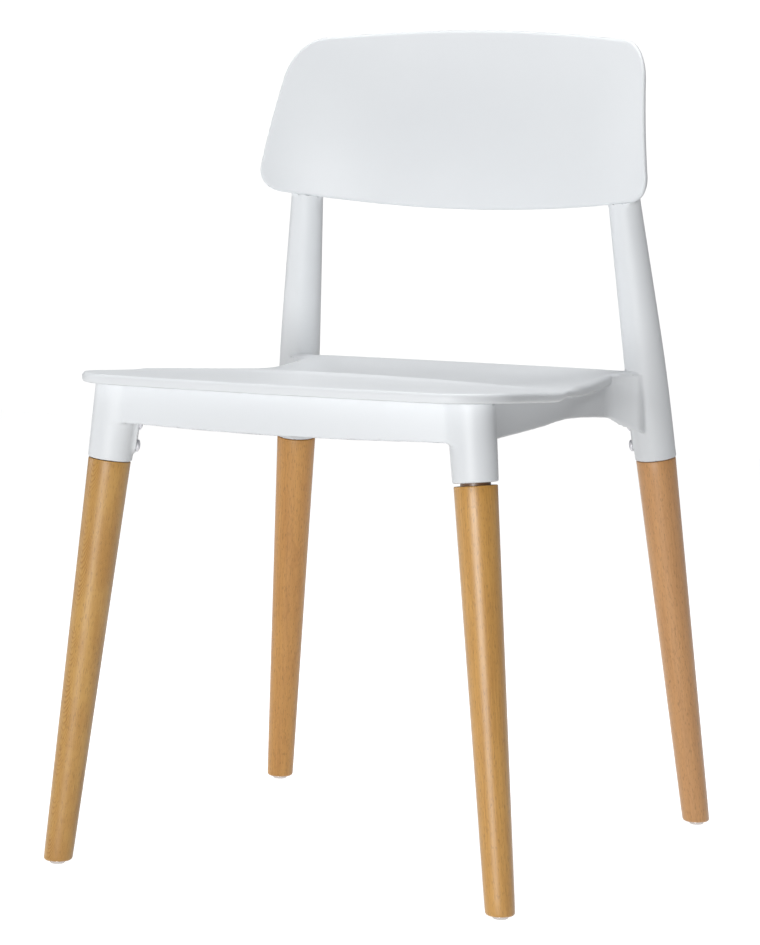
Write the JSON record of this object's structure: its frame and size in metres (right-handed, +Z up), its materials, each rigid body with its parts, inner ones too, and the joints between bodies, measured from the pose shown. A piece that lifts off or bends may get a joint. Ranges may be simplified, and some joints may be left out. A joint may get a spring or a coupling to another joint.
{
  "type": "dining chair",
  "caption": "Side chair with a white moulded seat and frame, a wide bowed back panel on tapered posts, and splayed turned wooden legs on metal glides.",
  "frame": {"origin": "middle of the footprint, on the floor", "axes": "+Z up, the front of the chair faces -Y, +X is the chair's right side as seen by someone who looks at its front"},
  "size_m": [0.4812, 0.5154, 0.7682],
  "materials": {
    "white_plastic": "satin, finely textured",
    "beech": "clear satin lacquer",
    "nickel": "bright nickel plate",
    "zinc": "bright zinc plate",
    "brass": "plain"
  },
  "bodies": {
    "root": {"frame": "white_plastic", "seat_front_panel": "white_plastic", "back_panel": "white_plastic", "leg_front_left": "beech", "glide_front_left": "nickel", "leg_bolt_front_left_lower": "zinc", "leg_insert_front_left_lower": "brass", "leg_bolt_front_left_upper": "zinc", "leg_insert_front_left_upper": "brass", "leg_front_right": "beech", "glide_front_right": "nickel", "leg_bolt_front_right_lower": "zinc", "leg_insert_front_right_lower": "brass", "leg_bolt_front_right_upper": "zinc", "leg_insert_front_right_upper": "brass", "leg_rear_left": "beech", "glide_rear_left": "nickel", "leg_bolt_rear_left_lower": "zinc", "leg_insert_rear_left_lower": "brass", "leg_bolt_rear_left_upper": "zinc", "leg_insert_rear_left_upper": "brass", "leg_rear_right": "beech", "glide_rear_right": "nickel", "leg_bolt_rear_right_lower": "zinc", "leg_insert_rear_right_lower": "brass", "leg_bolt_rear_right_upper": "zinc", "leg_insert_rear_right_upper": "brass", "seat_screw_left_1": "zinc", "back_screw_left_1": "zinc", "seat_screw_left_2": "zinc", "back_screw_left_2": "zinc", "seat_screw_right_1": "zinc", "back_screw_right_1": "zinc", "seat_screw_right_2": "zinc", "back_screw_right_2": "zinc"}
  },
  "joints": []
}
